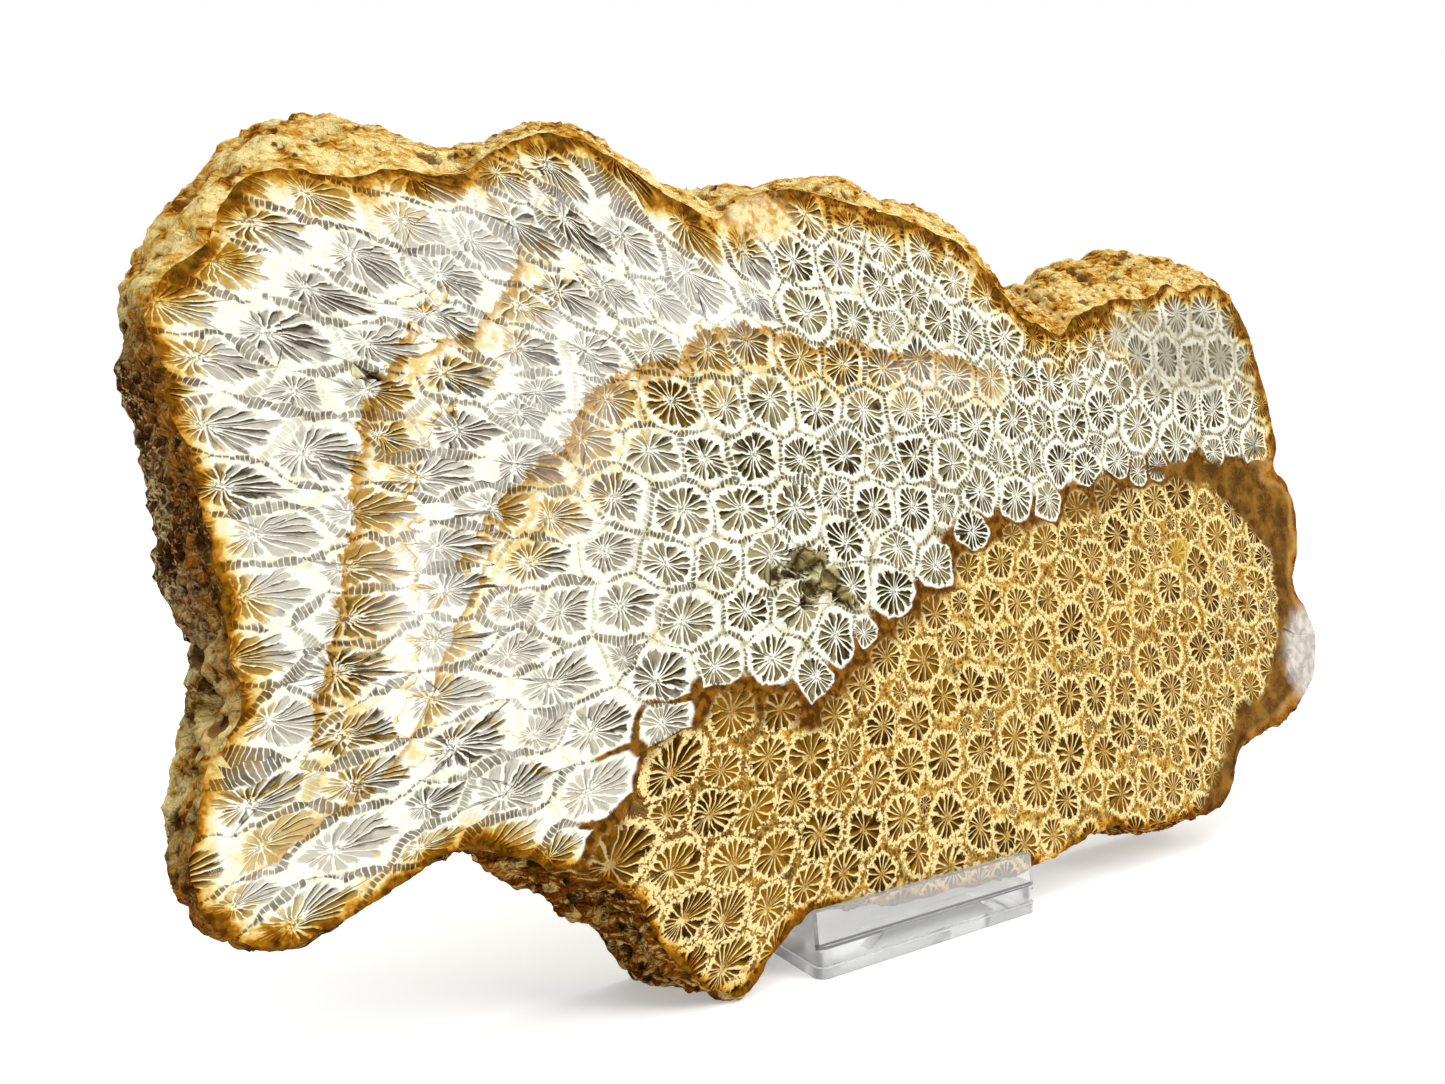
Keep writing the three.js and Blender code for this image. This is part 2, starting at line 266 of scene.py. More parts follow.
zones = {
    "boundary": [(-23, 25), (-23, 31), (-20, 41), (-14, 45), (-5, 48), (0, 51), (6, 49), (20, 45), (24, 49),
                 (31, 53), (39, 60), (48, 63), (56, 72), (66, 76), (86, 80), (102, 82), (110, 85),
                 (124, 88), (140, 89), (159, 88), (168, 89)],
    "tanCorners": [(200, 89), (200, -40), (-8, -40), (-26, 12)],  # closes the tan zone below its boundary
    "growthBands": [  # line, width and strength of each
        ([(-47, 103), (-54, 91), (-55, 81), (-57, 70), (-58, 62), (-61, 56), (-62, 51)], 7, 1.0),
        ([(-66, 35), (-59, 39), (-53, 42)], 6, 0.7),
        ([(-29, 117), (-31, 112), (-37, 105), (-43, 102)], 5, 0.8),
        ([(-34, 79), (-37, 72), (-40, 66), (-43, 61), (-45, 55), (-47, 50), (-51, 45), (-55, 43)], 2.5, 0.8),
        ([(66, 107), (55, 109), (45, 108), (36, 110), (30, 108), (20, 110), (10, 110), (2, 108),
          (-3, 103), (-12, 101), (-20, 96), (-24, 88), (-33, 82), (-36, 78)], 10, 1.0),
        ([(104, 114), (118, 109)], 4, 0.9),
    ],
    "stainDeeper": [  # gain in the stain's reach, and over which mm along and up the face it comes in
        (0.3, (), (92, 112)),
        (0.4, ((5, -35),), (92, 112)),
        (0.9, ((-14, 4), (100, 84)), (92, 112)),
        (0.8, ((86, 100), (132, 116)), (92, 112)),
        (1.2, ((146, 160),), (78, 90)),
    ],
    # the small pit near the far right edge is not modelled; its spot is painted shade
    "smallPitSpot": ((163, 92), (2.0, 2.0)),  # centre and reach of each spot and veil
    "yellowSpot": ((128, 68), (3.4, 3.4)),
    "chipped": ((17, 130), (8, 4)),
    "chalcedony": ((176, 40), (9, 12)),
    "greyVeils": [((142, 116), (30, 13))],
    "paleVeils": [((-35, 121), (9, 10)), ((-24, 93), (11, 14)), ((0, 113), (16, 7)), ((-47, 66), (8, 12)),
                  ((56, 104), (14, 5))],
    "browned": [(60, 100), (131, 84), (145, 82), (151, 78), (158, 72), (165, 67), (166, 52), (162, 42),
                (156, 33), (144, 30), (139, 23), (134, 17), (124, 8), (116, -10)],
    "brownedCorners": [(230, -10), (230, 130), (60, 130)],
}


def distanceToLine(places, line):
    line = np.array(line, float)
    best = np.full(len(places), 1e9)
    for a, b in zip(line[:-1], line[1:]):
        along = np.clip(((places - a) @ (b - a)) / ((b - a) @ (b - a)), 0, 1)
        best = np.minimum(best, np.hypot(*(places - a - along[:, None] * (b - a)).T))
    return best


def insidePolygon(places, polygon):
    inside = np.zeros(len(places), bool)
    polygon = np.asarray(polygon, float)
    for (x0, y0), (x1, y1) in zip(polygon, np.roll(polygon, -1, 0)):
        crosses = (y0 > places[:, 1]) != (y1 > places[:, 1])
        with np.errstate(divide="ignore", invalid="ignore"):
            at = x0 + (places[:, 1] - y0) * (x1 - x0) / (y1 - y0)
        inside ^= crosses & (places[:, 0] < at)
    return inside


def signedDistance(places, line, corners):  # mm to a line, positive on the side that the corners close off
    away = distanceToLine(places, line)
    return np.where(insidePolygon(places, line + corners), away, -away)


def tanDistance(places):  # mm into the tan zone, negative in the white one
    return signedDistance(places, zones["boundary"], zones["tanCorners"])


def softSpot(places, centre, reach):
    away = np.hypot(*((places - centre) / np.array(reach, float)).T)
    return smoothStep(1.3, 0.4, away + 0.3 * lumpNoise(places, 6, 43))


def spot(places, centre, reach):
    away = np.hypot(*((places - centre) / np.array(reach, float)).T)
    return smoothStep(1.15, 0.75, away + 0.15 * lumpNoise(places, 2.2, 41))


def stainReach(places):  # how far the stain under the skin reaches in, over its usual reach
    reach = np.ones(len(places))
    for gain, alongs, up in zones["stainDeeper"]:
        share = np.prod([smoothStep(*along, places[:, 0]) for along in alongs], axis=0)
        reach += gain * smoothStep(*up, places[:, 1]) * share
    return reach


def scatter(low, high, step, random, jitter=0.18):  # an uneven triangular grid of points
    xs = np.arange(low[0], high[0], step)
    ys = np.arange(low[1], high[1], step * 0.866)
    grid = np.stack(np.meshgrid(xs, ys), 2)
    grid[1::2, :, 0] += step / 2
    return grid.reshape(-1, 2) + random.uniform(-jitter, jitter, (grid.shape[0] * grid.shape[1], 2)) * step


# the corallites: where each stands, its long axis and its border with the next

coral = {
    "cellArea": (84.0, 62.0, 116.0),  # mm2 of face for each: white zone, tan zone, far end of the white one
    "farEnd": 108,  # mm along the slice, where the far end starts
    "tanFrom": 1.6,  # mm into the tan zone, from where a corallite is a tan one
    "heart": (85, 75),  # the colony grew outwards from here
    "stretch": (1.06, 2.1),  # long axis over short axis, near the heart and far from it
    "stretchFrom": (62, 142),  # mm from the heart
    "lobe": ((-8, 124), (30, 18)),  # where they are longer still, and turned by so many degrees
    "lobeStretch": 0.9,
    "lobeTurn": -13,
    "sizeSteps": (-1.6, -0.4, 0.0, 0.2, 0.4, 0.6),
    "whiteSpread": 0.14,
    "tanSpread": 0.26,
    "jitter": 0.42,
    "margin": 14,  # mm laid out past the outline
    "raster": 1.3,  # mm, for relaxing the layout
    "fineRaster": 0.5,  # mm, for reading its borders
    "rounds": 14,
    "offCentre": 0.16,  # share of its length by which a calice lies off the middle
    "halfLength": 4.9,
    "widestGap": 2.6,  # radians between two junctions, past which a corallite is left out
    "calice": (0.45, 0.52),  # its radius, from the least and the middling distance to a border
    "caliceLimits": (1.6, 5.4),
    "septa": (((15, 20), (18, 24)), ((11, 15), (16, 20))),  # white and tan zone, round and drawn out
    "seed": 11,
}


def shapeAt(places):  # the matrix that makes a corallite at each place round, its long way and its stretch
    away = places - np.array(coral["heart"], float)
    atHeart, farOut = coral["stretch"]
    inLobe = softSpot(places, *coral["lobe"])
    stretch = atHeart + (farOut - atHeart) * smoothStep(*coral["stretchFrom"], np.hypot(*away.T))
    stretch = stretch + coral["lobeStretch"] * inLobe
    angle = np.arctan2(away[:, 1], away[:, 0]) + np.radians(coral["lobeTurn"]) * inLobe
    long = np.stack([np.cos(angle), np.sin(angle)], 1)
    short = np.stack([-long[:, 1], long[:, 0]], 1)
    narrow, wide = 1 / np.sqrt(stretch)[:, None, None], np.sqrt(stretch)[:, None, None]
    toRound = narrow * long[:, :, None] * long[:, None, :] + wide * short[:, :, None] * short[:, None, :]
    return toRound, long, stretch


def nearestCorallite(pixels, sites, sizes):
    toRound = shapeAt(sites)[0]
    owner = np.empty(len(pixels), int)
    for first in range(0, len(pixels), 4000):
        part = pixels[first:first + 4000]
        dx, dy = (part[:, None, k] - sites[None, :, k] for k in (0, 1))
        qx, qy = (toRound[:, k, 0] * dx + toRound[:, k, 1] * dy for k in (0, 1))
        owner[first:first + 4000] = np.argmin((qx * qx + qy * qy) / sizes ** 2, axis=1)
    return owner


def pixelGrid(low, high, step):
    xs = np.arange(low[0], high[0], step)
    ys = np.arange(low[1], high[1], step)
    return np.stack(np.meshgrid(xs, ys), 2)


def layOut():  # the corallites' places and sizes, evened out in rounds
    random = np.random.default_rng(coral["seed"])
    around = rimGrid[:, :, :2].reshape(-1, 2)
    low, high = around.min(0) - coral["margin"], around.max(0) + coral["margin"]
    steps = [math.sqrt(area * 2 / math.sqrt(3)) for area in coral["cellArea"]]
    scattered = [scatter(low, high, step, random, coral["jitter"]) for step in steps]
    kept = []
    for kind, places in enumerate(scattered):
        wanted = np.where(tanDistance(places) > 0, 1, np.where(places[:, 0] > coral["farEnd"], 2, 0))
        kept.append(places[wanted == kind])
    sites = np.vstack(kept)
    kinds = np.repeat([0, 1, 2], [len(places) for places in kept])
    count = len(sites)
    spread = np.where(kinds == 1, coral["tanSpread"], coral["whiteSpread"])
    sizes = np.array(steps)[kinds] / steps[0] * (1 + spread * random.choice(coral["sizeSteps"], count))
    pixels = pixelGrid(low, high, coral["raster"]).reshape(-1, 2)
    for _ in range(coral["rounds"]):
        owner = nearestCorallite(pixels, sites, sizes)
        held = np.bincount(owner, minlength=count)
        sites = np.stack([np.bincount(owner, pixels[:, k], count) / np.maximum(held, 1) for k in (0, 1)], 1)
        sites[held == 0] = random.uniform(low, high, ((held == 0).sum(), 2))
    return low, high, sites, sizes, random


def readBorders(low, high, sites, sizes):  # the junctions where three or more corallites meet
    grid = pixelGrid(low, high, coral["fineRaster"])
    owner = nearestCorallite(grid.reshape(-1, 2), sites, sizes).reshape(grid.shape[:2])
    block = np.stack([owner[:-1, :-1], owner[:-1, 1:], owner[1:, :-1], owner[1:, 1:]], 2)
    kinds = 1 + (np.diff(np.sort(block, 2), axis=2) != 0).sum(2)
    junctions = []
    for row, column in zip(*np.nonzero(kinds >= 3)):
        place = grid[row, column] + coral["fineRaster"] / 2
        owners = set(block[row, column])
        for other in junctions:
            near = np.hypot(*(other["places"][0] - place)) < 3.2 * coral["fineRaster"]
            if near and len(other["owners"] & owners) >= 2:
                other["places"].append(place)
                other["owners"] |= owners
                break
        else:
            junctions.append({"places": [place], "owners": owners})
    corners = np.array([np.mean(j["places"], 0) for j in junctions])
    byCell = [[] for _ in sites]
    for k, junction in enumerate(junctions):
        for cell in junction["owners"]:
            byCell[cell].append(k)
    return corners, byCell


def growCorallites():
    low, high, sites, sizes, random = layOut()
    corners, byCell = readBorders(low, high, sites, sizes)
    toRound, long, stretch = shapeAt(sites)
    cells = []
    for k, around in enumerate(byCell):
        aside = random.uniform(-coral["offCentre"], coral["offCentre"])
        centre = sites[k] + long[k] * aside * coral["halfLength"] * (stretch[k] - 0.9)
        if len(around) < 3:
            continue
        ring = sorted(around, key=lambda j: math.atan2(*(corners[j] - centre)[::-1]))
        angles = [math.atan2(*(corners[j] - centre)[::-1]) for j in ring]
        if np.diff(angles + [angles[0] + 2 * math.pi]).max() > coral["widestGap"]:
            continue
        a = (corners[ring] - centre) @ toRound[k].T
        edge = np.roll(a, -1, 0) - a
        reach = np.abs(a[:, 0] * edge[:, 1] - a[:, 1] * edge[:, 0]) / np.maximum(np.hypot(*edge.T), 1e-6)
        radius = np.clip(np.dot(coral["calice"], (reach.min(), np.median(reach))), *coral["caliceLimits"])
        first, second = random.uniform(), random.uniform()
        isTan = tanDistance(centre[None])[0] > coral["tanFrom"]
        few, many = coral["septa"][int(isTan)][int(stretch[k] > 1.5)]
        cells.append({
            "centre": centre, "ring": ring, "toRound": toRound[k], "stretch": stretch[k], "long": long[k],
            "radius": radius * (0.90 + 0.10 * first if isTan else 1), "first": first, "tan": float(isTan),
            "septa": int(few + (many - few + 0.99) * second),
        })
    return corners, cells


corners, cells = growCorallites()
print("corallites:", len(cells))


def ofCells(name):
    return np.array([cell[name] for cell in cells])


# the cut faces

cutFace = {
    "pointStep": 1.75,  # mm between points within a corallite
    "borderStep": 1.1,  # mm between points along a border
    "clear": 0.6,  # mm kept free along the outline
    "waver": (4.2, 0.75),  # mm, size and reach of the bends in the borders
    "hollowStep": 0.42,
    "hollowMargin": 1.2,
    "hollowDeepest": 4,
    "feltFrom": 5,  # mm in front of the face, from where its hollows are felt for
    "feltReach": 12,
    "seed": 6,
}
fans = []  # each corallite with each side of its border
for k, cell in enumerate(cells):
    fans += [(k, a, b) for a, b in zip(cell["ring"], cell["ring"][1:] + cell["ring"][:1])]


def loopDistance(places, loop):  # mm from the outline, good to 12 mm
    loop = np.vstack([loop, loop[:1]])
    best = np.full(len(places), 12.0)
    for first in range(0, len(loop) - 1, 12):
        part = loop[first:first + 13]
        near = np.flatnonzero(np.hypot(*(places - part.mean(0)).T) < 20)
        if len(near):
            best[near] = np.minimum(best[near], distanceToLine(places[near], part))
    return best


def alongBorders():  # points along every border between corallites, so that it can bend
    pairs = {tuple(sorted(fan[1:])) for fan in fans}
    points = []
    for a, b in sorted(pairs):
        steps = int(np.hypot(*(corners[b] - corners[a])) / cutFace["borderStep"])
        points += [corners[a] + (corners[b] - corners[a]) * k / (steps + 1) for k in range(1, steps + 1)]
    return np.array(points)


def wavered(points, loop):  # the points moved a little within the face, least near its outline
    fade = smoothStep(0.3, 4, loopDistance(points, loop))
    size, far = cutFace["waver"]
    move = np.stack([roughNoise(points, size, seed, 2) for seed in (61, 67)], 1)
    return points + far * fade[:, None] * move


def fillCutFace(loop, extra):  # triangles of a cut face that follow every corallite's border
    random = np.random.default_rng(cutFace["seed"])
    inside = scatter(loop.min(0), loop.max(0), cutFace["pointStep"], random)
    inside = inside[insidePolygon(inside, loop)]
    inside = inside[loopDistance(inside, loop) > cutFace["clear"]]
    pools = [loop, corners, ofCells("centre"), inside, alongBorders(), extra]
    starts = np.cumsum([0] + [len(pool) for pool in pools]).tolist()
    loopEdges = [(i, (i + 1) % len(loop)) for i in range(len(loop))]
    faces = [(starts[2] + cell, starts[1] + a, starts[1] + b) for cell, a, b in fans]
    points, _, tris, sources, _, owners = delaunay_2d_cdt(
        [Vector(p) for p in np.vstack(pools)], loopEdges, faces, 0, 1e-5, True)
    points = np.array([tuple(p) for p in points])
    known = {source: k for k, group in enumerate(sources) for source in group}
    loopIds = np.array([known[i] for i in range(len(loop))])
    home = np.arange(len(points))
    added = np.array([k for k, group in enumerate(sources) if not group], int)
    crossing = added[loopDistance(points[added], loop) < 1e-3]
    for k in crossing:  # a border that crosses the edge ends at the nearest station
        home[k] = loopIds[np.argmin(np.hypot(*(loop - points[k]).T))]
    middle = np.array([points[list(t)].mean(0) for t in tris])
    owned = np.flatnonzero([len(owner) > 0 for owner in owners])
    keepTris, keepFans = [], []
    for k in np.flatnonzero(insidePolygon(middle, loop)):
        tri = [home[v] for v in tris[k]]
        if len(set(tri)) == 3:
            near = k if owners[k] else owned[np.argmin(np.hypot(*(middle[owned] - middle[k]).T))]
            keepTris.append(tri)
            keepFans.append(owners[near][0])
    keepTris, keepFans = np.array(keepTris), np.array(keepFans)
    _, which, often = np.unique(np.sort(keepTris, 1), axis=0, return_inverse=True, return_counts=True)
    single = often[which.reshape(-1)] == 1  # two triangles folded onto each other cancel out
    return points, keepTris[single], keepFans[single], loopIds


def hollowPoints():  # fine points over the vug and the slot of the cut face
    random = np.random.default_rng(cutFace["seed"] + 1)
    margin, step = cutFace["hollowMargin"], cutFace["hollowStep"]
    loops = cutFaceLoops()[1:]
    return np.vstack([scatter(loop.min(0) - margin, loop.max(0) + margin, step, random) for loop in loops])


def hollowDepth(places):  # how far the solid's own hollows reach in under each place of the cut face
    depth = np.zeros(len(places))
    start = cutFace["feltFrom"]
    for loop in cutFaceLoops()[1:]:
        near = np.all((places > loop.min(0) - 0.3) & (places < loop.max(0) + 0.3), axis=1)
        for k in np.flatnonzero(near):
            source, inwards = Vector((*places[k], -start)), Vector((0, 0, 1))
            far = solidTree.ray_cast(source, inwards, cutFace["feltReach"])[3]
            if far is not None:
                depth[k] = max(depth[k], min(far - start, cutFace["hollowDeepest"]))
    return depth * (1 + 0.35 * lumpNoise(places, 0.9, 51) + 0.25 * lumpNoise(places, 2.0, 52))


front = fillCutFace(rimGrid[:, 0, :2], hollowPoints())
back = fillCutFace(rimGrid[:, -1, :2], np.zeros((0, 2)))
print("cut faces:", len(front[1]), "and", len(back[1]), "triangles")

# the slice as one closed mesh


def faceCorners(points, tris, fanOf):  # what the surface needs to know at each corner of each triangle
    fan = np.array(fans)[fanOf]
    cell, a, b = fan[:, 0], corners[fan[:, 1]], corners[fan[:, 2]]
    centre, axis = ofCells("centre")[cell], ofCells("long")[cell]
    stretch, first, septa, isTan = (
        ofCells(name)[cell][:, None] * np.ones(3) for name in ("stretch", "first", "septa", "tan"))
    forward = np.where(fan[:, 1] < fan[:, 2], 1, -1)[:, None]
    edge = (b - a)[:, None]
    long = np.linalg.norm(edge, axis=2)
    place = points[tris]
    fromA, toC = place - a[:, None], (centre - a)[:, None]
    area = fromA[:, :, 0] * edge[:, :, 1] - fromA[:, :, 1] * edge[:, :, 0]
    whole = toC[:, :, 0] * edge[:, :, 1] - toC[:, :, 1] * edge[:, :, 0]
    along = ((place - (a + b)[:, None] / 2) * edge).sum(2) / long * forward
    inRound = np.einsum("nij,nkj->nki", ofCells("toRound")[cell], place - centre[:, None])
    inRound = inRound / ofCells("radius")[cell][:, None, None]
    sideways = np.abs((edge[:, 0] * axis).sum(1, keepdims=True)) / long * np.ones(3)
    return {
        "calice": np.dstack([inRound, 1 - area / whole]),
        "seam": np.dstack([along, area / whole * np.abs(whole) / long, stretch]),
        "kind": np.dstack([first, septa, isTan]),
        "axis": np.dstack([axis[:, None] * np.ones((3, 1)), sideways]),
    }


def nearestBand(places):  # signed distance to the nearest growth band, in its widths, and how strong it is
    best = np.full(len(places), 1e9)
    signed = np.full(len(places), 40.0)
    strength = np.zeros(len(places))
    for line, width, bandStrength in zones["growthBands"]:
        line = np.array(line, float)
        for a, step in zip(line[:-1], np.diff(line, axis=0)):
            away = places - a
            share = np.clip(away @ step / (step @ step), 0, 1)
            far = np.hypot(*(away - share[:, None] * step).T) / width
            side = np.sign(step[0] * away[:, 1] - step[1] * away[:, 0])
            closer = far < best
            best[closer], signed[closer], strength[closer] = far[closer], (far * side)[closer], bandStrength
    return signed, strength


def surfaceFields(places, loop, sunk):  # zone, edge and tint fields at points of a cut face
    chipped, glassy, dark, yellow = (
        spot(places, *zones[name]) for name in ("chipped", "chalcedony", "smallPitSpot", "yellowSpot"))
    grey, pale = (
        np.max([softSpot(places, *veil) for veil in zones[name]], axis=0)
        for name in ("greyVeils", "paleVeils"))
    fields = {
        "zone": (tanDistance(places), *nearestBand(places)),
        "edge": (loopDistance(places, loop) / stainReach(places), chipped, glassy),
        "tone": (signedDistance(places, zones["browned"], zones["brownedCorners"]), grey, pale),
        "mark": (sunk, dark, yellow),
    }
    return {name: np.stack(values, 1) for name, values in fields.items()}


def buildSlice():
    stations, rows = rimGrid.shape[:2]
    total = stations * rows
    rimId = np.arange(total).reshape(stations, rows)
    vertices, faces, known = [rimGrid.reshape(-1, 3)], [], []
    for (points, tris, fanOf, loopIds), row, depth in ((front, 0, 0.0), (back, rows - 1, thickness)):
        loop = rimGrid[:, row, :2]
        sunk = np.zeros(len(points)) if row else hollowDepth(points)
        sunk[loopIds] = 0
        newId = np.full(len(points), -1)
        newId[loopIds] = rimId[:, row]
        used = np.unique(tris)
        inner = used[newId[used] < 0]
        newId[inner] = total + np.arange(len(inner))
        total += len(inner)
        vertices.append(np.column_stack([wavered(points[inner], loop), depth + sunk[inner]]))
        turn = -1 if row else 1  # the triangles of the back run the other way round
        faces.append(newId[tris][:, ::turn])
        corner = faceCorners(points, tris, fanOf)
        corner.update({name: values[tris] for name, values in surfaceFields(points, loop, sunk).items()})
        known.append({name: values[:, ::turn].reshape(-1, 3) for name, values in corner.items()})
    vertices = np.vstack(vertices)
    following = np.roll(rimId, -1, 0)
    quads = np.stack([rimId[:, :-1], rimId[:, 1:], following[:, 1:], following[:, :-1]], 2).reshape(-1, 4)
    mesh = bpy.data.meshes.new("coral")
    world = fromLeaning(vertices) * mm
    world[:, 2] = np.maximum(world[:, 2], 0)
    mesh.from_pydata(world.tolist(), [], faces[0].tolist() + faces[1].tolist() + quads.tolist())
    mesh.validate(verbose=True)
    onRim = quads.reshape(-1)
    upward = np.repeat(rimOut[:, 1], rows)
    skinFields = np.stack([rimPits.reshape(-1)[onRim], vertices[onRim, 2], upward[onRim]], 1)
    fields = {name: np.vstack([known[0][name], known[1][name], 0 * skinFields]) for name in known[0]}
    fields["skin"] = np.vstack([np.zeros((fields["zone"].shape[0] - len(onRim), 3)), skinFields])
    for name, values in fields.items():
        layer = mesh.attributes.new(name, "FLOAT_VECTOR", "CORNER")
        layer.data.foreach_set("vector", values.astype(np.float32).reshape(-1))
    isSkin = np.repeat([0, 1], [len(faces[0]) + len(faces[1]), len(quads)])
    mesh.polygons.foreach_set("material_index", isSkin)
    mesh.polygons.foreach_set("use_smooth", isSkin.astype(bool))
    addBakeMap(mesh, vertices, faces, len(quads))
    piece = bpy.data.objects.new("coral_slice_body", mesh)
    bpy.context.scene.collection.objects.link(piece)
    return piece


bakeMap = {
    "pixels": 1024,
    "frontPixel": 0.287,  # mm of the front for each pixel
    "backPixel": 0.41,
    "gap": 8,
    "rimHeight": 56,  # pixels, for each of the two strips of the rim
}


def addBakeMap(mesh, vertices, faces, quadCount):  # the front at the top, then the back, then the rim
    pixels, gap, height = bakeMap["pixels"], bakeMap["gap"], bakeMap["rimHeight"]
    low, high = vertices[:, :2].min(0), vertices[:, :2].max(0)
    islands, top = [], pixels - gap
    sides = ((faces[0], low, 1, bakeMap["frontPixel"]),
             (faces[1], [-high[0], low[1]], -1, bakeMap["backPixel"]))
    for face, start, mirror, pixel in sides:
        bottom = top - (high - low)[1] / pixel
        islands.append((vertices[face.reshape(-1)][:, :2] * [mirror, 1] - start) / pixel + [gap, bottom])
        top = bottom - gap
    stations, rows = rimGrid.shape[:2]
    half = stations // 2
    station, row = np.divmod(np.arange(quadCount), rows - 1)
    strip = (station >= half).astype(int)
    across = np.stack([station, station, station + 1, station + 1], 1) - (strip * half)[:, None]
    down = np.stack([row, row + 1, row + 1, row], 1)
    x = gap + across * (pixels - 2 * gap) / (stations - half)
    y = gap + strip[:, None] * (height + gap) + down * height / (rows - 1)
    islands.append(np.stack([x, y], 2).reshape(-1, 2))
    layer = mesh.uv_layers.new(name="OFBake")
    layer.data.foreach_set("uv", (np.vstack(islands) / pixels).astype(np.float32).reshape(-1))


coralPiece = buildSlice()
work = bmesh.new()
work.from_mesh(coralPiece.data)
openEdges = sum(len(edge.link_faces) != 2 for edge in work.edges)
volume = round(work.calc_volume() * 1e6, 1)
print("slice:", len(work.faces), "faces,", openEdges, "open edges,", volume, "cm3")
work.free()

# shader helpers: sockets come wrapped, so that sums can be written with signs


class Wire:
    def __init__(self, nodes, socket):
        self.nodes, self.socket = nodes, socket

    def __abs__(self):
        return self.nodes.math("ABSOLUTE", self)


for sign, operation in (("add", "ADD"), ("sub", "SUBTRACT"), ("mul", "MULTIPLY"), ("truediv", "DIVIDE")):
    setattr(Wire, f"__{sign}__", lambda a, b, operation=operation: a.nodes.math(operation, a, b))
    setattr(Wire, f"__r{sign}__", lambda a, b, operation=operation: a.nodes.math(operation, b, a))


class Nodes:
    def __init__(self, name):
        self.material = bpy.data.materials.new(name)
        self.material.use_nodes = True
        self.tree = self.material.node_tree
        self.tree.nodes.clear()

    def feed(self, socket, value):
        value = getattr(value, "socket", value)
        if isinstance(value, bpy.types.NodeSocket):
            self.tree.links.new(value, socket)
        elif isinstance(value, (tuple, list)) and socket.type == "RGBA":
            socket.default_value = (*value[:3], 1)
        else:
            socket.default_value = value

    def node(self, kind, *values, inputs=(), **settings):  # inputs are fed in order, or by name
        node = self.tree.nodes.new(kind)
        for key, value in settings.items():
            setattr(node, key, value)
        for key, value in (*enumerate(values), *dict(inputs).items()):
            self.feed(node.inputs[key], value)
        return node

    def wire(self, kind, *values, out=0, **settings):
        return Wire(self, self.node(kind, *values, **settings).outputs[out])

    def math(self, operation, *values, clamp=False):
        return self.wire("ShaderNodeMath", *values, operation=operation, use_clamp=clamp)

    def most(self, a, b):
        return self.math("MAXIMUM", a, b)

    def step(self, low, high, value, start=0.0, end=1.0):  # eased from start at low to end at high
        return self.wire("ShaderNodeMapRange", value, low, high, start, end, interpolation_type="SMOOTHSTEP")

    def blend(self, share, a, b, how="MIX"):
        inputs = {0: share, 6: a, 7: b}
        return self.wire("ShaderNodeMix", inputs=inputs, out=2, data_type="RGBA", blend_type=how)

    def between(self, share, a, b):
        return self.wire("ShaderNodeMix", inputs={0: share, 2: a, 3: b}, data_type="FLOAT")

    def stained(self, share, plain, pale, deep):  # pale first and deep after, as a stain soaks in
        plain = self.blend(self.step(0.0, 0.5, share), plain, pale)
        return self.blend(self.step(0.45, 1.0, share), plain, deep)

    def dyed(self, colour, dye):
        return self.blend(1.0, colour, dye, "MULTIPLY")

    def parts(self, vector):
        return [Wire(self, socket) for socket in self.node("ShaderNodeSeparateXYZ", vector).outputs]

    def field(self, name):
        return self.parts(self.wire("ShaderNodeAttribute", attribute_name=name, out="Vector"))

    def vector(self, x, y, z):
        return self.wire("ShaderNodeCombineXYZ", x, y, z)

    def vectors(self, operation, a, b):
        return self.wire("ShaderNodeVectorMath", a, b, operation=operation)

    def place(self):  # object coordinates, in mm
        return self.vectors("MULTIPLY", self.wire("ShaderNodeTexCoord", out="Object"), (1000, 1000, 1000))

    def noise(self, at, size, detail=2.0, rough=0.5, warp=0.0, out=0):
        inputs = {"Vector": at, "Scale": 1 / size, "Detail": detail, "Roughness": rough, "Distortion": warp}
        return self.wire("ShaderNodeTexNoise", inputs=inputs, out=out)

    def warped(self, at, size, far):
        away = self.vectors("SUBTRACT", self.noise(at, size, out="Color"), (0.5, 0.5, 0.5))
        return self.vectors("ADD", at, self.vectors("MULTIPLY", away, (far, far, far)))

    def toEdge(self, at, size):  # distance to the nearest border between uneven blocks
        inputs = {"Vector": at, "Scale": 1 / size}
        return self.wire("ShaderNodeTexVoronoi", inputs=inputs, out="Distance", feature="DISTANCE_TO_EDGE")

    def blocks(self, at, size):  # distance to the middle of the nearest block, and its own random value
        node = self.node("ShaderNodeTexVoronoi", inputs={"Vector": at, "Scale": 1 / size}, feature="F1")
        return Wire(self, node.outputs["Distance"]), self.parts(node.outputs["Color"])[0]

    def chance(self, *values):  # a fixed random value from 0 to 1 for these numbers
        return self.wire("ShaderNodeTexWhiteNoise", self.vector(*values), out="Value", noise_dimensions="3D")

    def finish(self, colour, roughness, height=None, lift=0.0, specular=0.5):
        inputs = {"Base Color": colour, "Roughness": roughness, "Specular IOR Level": specular}
        if height is not None:
            inputs["Normal"] = self.wire("ShaderNodeBump", inputs={"Height": height, "Distance": lift})
        shader = self.node("ShaderNodeBsdfPrincipled", inputs=inputs)
        self.node("ShaderNodeOutputMaterial", shader.outputs[0])
        return shader


# the sawn face


def tone(*seen):  # a colour as seen, 0 to 255, as the shader's own values
    shares = [v / 255 for v in seen]
    return tuple(round(((v + 0.055) / 1.055) ** 2.4 if v > 0.04 else v / 12.92, 4) for v in shares)


